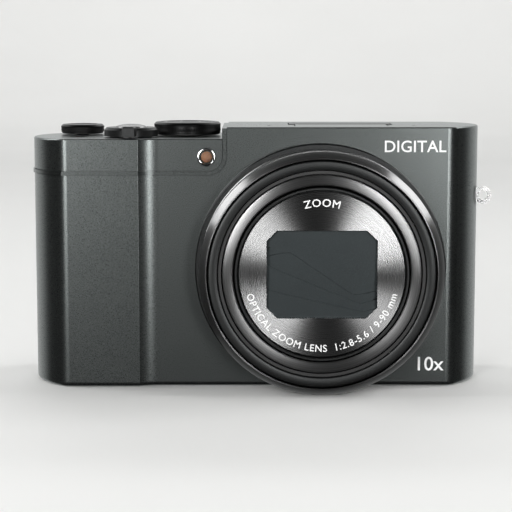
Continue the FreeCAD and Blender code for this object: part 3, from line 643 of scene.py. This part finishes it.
def make_knurled_dial(node, shaft, teeth, marks):
    """Dial with a diamond-knurled side, a spun top and a bevelled rim."""
    low, high = span(node, "up")
    outer = radius_of(node)
    centre = axis_point(node, "up")
    base = DECK_TOP / MM + 0.3
    rows = 8
    band = [(outer, base + 0.4 + (high - base - 1.0) * step / rows) for step in range(rows + 1)]
    profile = [(0.0, low), (shaft, low), (shaft, base),
               (outer - 0.5, base), (outer - 0.3, base + 0.1), (outer - 0.3, base + 0.3)]
    first = len(profile)
    profile += band
    last = len(profile) - 1
    profile += [(outer - 0.05, high - 0.5), (outer - 0.45, high - 0.06), (outer - 0.6, high),
                (outer - 1.6, high), (outer - 1.7, high - 0.12), (0.0, high - 0.12)]
    shape = knurl(first - 1, last + 1, teeth, depth=0.3, rows_between=2.6)
    mesh = lathe(f"{node}_knurled", profile, centre, "up", teeth * STEPS_PER_TOOTH, shape)
    material = spun_metal(f"{node}_metal", 0.018, "z", tuple(centre), 0.36, 0.6)
    new_piece(f"{node}_knurled", mesh, node, "spun_black_metal", material, (node,))
    for index, word in enumerate(marks):
        angle = 2 * math.pi * index / len(marks) + 0.3
        reach = outer - 2.9
        spot = centre + Vector((reach * math.cos(angle), reach * math.sin(angle), 0)) * MM
        printed(f"mark_{node}_{index}", text_mesh(word, 1.35),
                on_top(spot.x, spot.y, (high - 0.12) * MM, angle - math.pi / 2), node, white_ink)


def make_shutter_button():
    """Spun cap on a stem, domed on top."""
    low, high = span("shutter_button", "up")
    centre = axis_point("shutter_button", "up")
    stem, cap, dome_height = 1.5, 3.9, 0.85
    cap_low = low + 4.9
    dome = [(cap * math.cos(step), high - dome_height + dome_height * math.sin(step))
            for step in (math.radians(angle) for angle in range(0, 86, 6))]
    profile = [(0.0, low), (stem, low), (stem, cap_low), (cap - 0.2, cap_low),
               (cap, cap_low + 0.2), *dome, (0.0, high)]
    mesh = lathe("shutter_button_turned", profile, centre, "up", 160)
    material = spun_metal("shutter_metal", 0.16, "z", tuple(centre), 0.28, 0.7)
    new_piece("shutter_button_turned", mesh, "shutter_button", "spun_black_metal", material,
              ("shutter_button",))


def make_movie_dot():
    """Red dot on the movie button."""
    high = span("movie_button", "up")[1]
    centre = axis_point("movie_button", "up")
    dot, sunk = 0.8, 0.02
    profile = [(0.0, high - sunk), (dot - 0.05, high - sunk), (dot, high), (0.0, high)]
    mesh = lathe("movie_dot", profile, centre, "up", 64)
    new_piece("movie_dot", mesh, "movie_button", "card_plastic", red_ink)


def make_deck_controls():
    """The two dials, the shutter button and the dot on the movie button."""
    make_knurled_dial("mode_dial", 2.0, 74, ["P", "A", "S", "M", "1", "2", "3", "4"])
    make_knurled_dial("rear_dial", 1.5, 52, [])
    make_shutter_button()
    make_movie_dot()


def make_lamp_bezel():
    """Bright ring round the focus lamp."""
    front = -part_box("af_lamp_lens")[0].y / MM
    centre = axis_point("af_lamp_lens", "front")
    inner, outer, depth = 1.75, 2.15, 0.35
    profile = [(inner, front - depth), (outer, front - depth), (outer, front - 0.05),
               (outer - 0.1, front), (inner + 0.1, front), (inner, front - 0.1)]
    mesh = lathe("lamp_bezel", profile, centre, "front", 96)
    new_piece("lamp_bezel", mesh, "camera_body", "chrome")


# ---------------------------------------------------------------- rear

def make_screen_area():
    """Dark picture area of the screen, inside the glass's black border."""
    low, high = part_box("lcd_glass")
    side_border, end_border, thickness = 0.0022, 0.0018, 0.00002
    mesh = bpy.data.meshes.new("screen_area")
    left, right = low.x + side_border, high.x - side_border
    bottom, top = low.z + end_border, high.z - end_border
    corners = [(left, bottom), (right, bottom), (right, top), (left, top)]
    verts = [Vector((x, high.y - depth, z)) for depth in (thickness, 0.0) for x, z in corners]
    faces = [(0, 1, 2, 3), (7, 6, 5, 4), (0, 4, 5, 1), (1, 5, 6, 2), (2, 6, 7, 3), (3, 7, 4, 0)]
    mesh.from_pydata(verts, [], faces)
    screen = moulded_plastic("screen_dark", 0.016, 0.08, 60, 0.000001, (0.85, 0.95, 1.15))
    new_piece("screen_area", mesh, "camera_body", "screen_glass", screen)


def make_rear_marks():
    """Word or number on each rear button, centred on its height."""
    marks = [("view_button", "1", 1.5), ("play_button", "2", 1.5), ("display_button", "3", 1.5),
             ("menu_button", "4", 1.5), ("set_button", "SET", 1.6)]
    for name, word, height in marks:
        spot = middle(name)
        printed(f"mark_{name}", text_mesh(word, height),
                on_back(spot.x, spot.z - height / 2 * MM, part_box(name)[1].y), name, grey_ink)


# ---------------------------------------------------------------- studio

def make_floor():
    """Pale round floor that curves up into a wall on all sides."""
    mesh = bpy.data.meshes.new("sweep")
    flat, bend, wall_top, steps = 1.2, 0.9, 3.0, 96
    rows = [(0.4, 0.0), (0.8, 0.0), (flat, 0.0)]
    rows += [(flat + bend * math.sin(turn), bend * (1 - math.cos(turn)))
             for turn in (math.radians(step * 5) for step in range(1, 19))]
    rows.append((flat + bend, wall_top))
    circle = [2 * math.pi * step / steps for step in range(steps)]
    verts = [(radius * math.cos(turn), radius * math.sin(turn), z)
             for radius, z in rows for turn in circle]
    faces = [tuple(range(steps))]
    for row in range(len(rows) - 1):
        for step in range(steps):
            following = (step + 1) % steps
            faces.append((row * steps + step, (row + 1) * steps + step,
                          (row + 1) * steps + following, row * steps + following))
    mesh.from_pydata(verts, [], faces)
    for face in mesh.polygons:
        face.use_smooth = True
    floor = bpy.data.objects.new("sweep", mesh)
    bpy.context.scene.collection.objects.link(floor)
    shader = Shader("sweep_paper")
    shader.color(shader.ramp(shader.noise(6, 2.0), (0.3, (0.80, 0.80, 0.79)),
                             (0.7, (0.82, 0.82, 0.81))))
    shader.set(Roughness=0.7)
    mesh.materials.append(shader.material)
    # the metal reflects the dim studio, not the paper it stands on
    floor.visible_glossy = False


def softbox(name, azimuth, elevation, distance, size, power, aim=(0, 0, 0.03)):
    """A soft light seen from its aim at an azimuth, to the right of straight in front."""
    data = bpy.data.lights.new(name, "AREA")
    data.shape = "RECTANGLE"
    data.size, data.size_y = size
    data.energy = power
    around, up = math.radians(azimuth), math.radians(elevation)
    toward = Vector((math.sin(around) * math.cos(up), -math.cos(around) * math.cos(up), math.sin(up)))
    lamp = bpy.data.objects.new(name, data)
    lamp.location = Vector(aim) + distance * toward
    lamp.rotation_euler = (-toward).to_track_quat("-Z", "Y").to_euler()
    bpy.context.scene.collection.objects.link(lamp)


def make_studio_world():
    """A dim room, pale behind the camera where the backdrop is."""
    world = bpy.data.worlds.new("studio")
    bpy.context.scene.world = world
    world.use_nodes = True
    tree = world.node_tree
    direction = tree.nodes.new("ShaderNodeTexCoord")
    parts = tree.nodes.new("ShaderNodeSeparateXYZ")
    tree.links.new(direction.outputs["Generated"], parts.inputs[0])
    behind = tree.nodes.new("ShaderNodeMapRange")
    behind.interpolation_type = "SMOOTHSTEP"
    tree.links.new(parts.outputs["Y"], behind.inputs["Value"])
    for key, value in (("From Min", 0.25), ("From Max", 0.6), ("To Min", 0.012), ("To Max", 0.9)):
        behind.inputs[key].default_value = value
    background = tree.nodes["Background"]
    background.inputs["Color"].default_value = (0.95, 0.97, 0.96, 1)
    tree.links.new(behind.outputs["Result"], background.inputs["Strength"])


def make_lights():
    """Two tall softboxes in front, one at each side and one over the backdrop."""
    softbox("softbox_left", -22, 11, 0.9, (0.19, 0.38), 4.3)
    softbox("softbox_right", 18, 7, 0.9, (0.12, 0.38), 2.7)
    softbox("side_left", -95, 34, 0.8, (0.4, 0.4), 3.4)
    softbox("side_right", 95, 34, 0.8, (0.4, 0.4), 3.4)
    softbox("backdrop_light", 0, 90, 1.0, (1.6, 0.4), 10.5, aim=(0, 1.4, 0.15))
    make_studio_world()
    bpy.context.scene.view_settings.view_transform = "Standard"


def make_camera():
    """Viewpoint a little above the part's top, looking down at it by a few degrees."""
    data = bpy.data.cameras.new("view")
    data.sensor_width = 36
    focal_px, picture_px = 1617.5, 512
    data.lens = data.sensor_width * focal_px / picture_px
    data.clip_start = 0.01
    view = bpy.data.objects.new("view", data)
    view.location = (0.0, -0.4056, 0.0826)
    tilt = 7.34
    view.rotation_euler = (math.radians(90 - tilt), 0, 0)
    bpy.context.scene.collection.objects.link(view)
    bpy.context.scene.camera = view


def make_everything():
    make_control_ring()
    make_lens_flange()
    make_satin_ring()
    make_barrels()
    make_nameplate()
    make_printing()
    make_deck_controls()
    make_lamp_bezel()
    make_screen_area()
    make_rear_marks()
    make_floor()
    make_lights()
    make_camera()


make_everything()
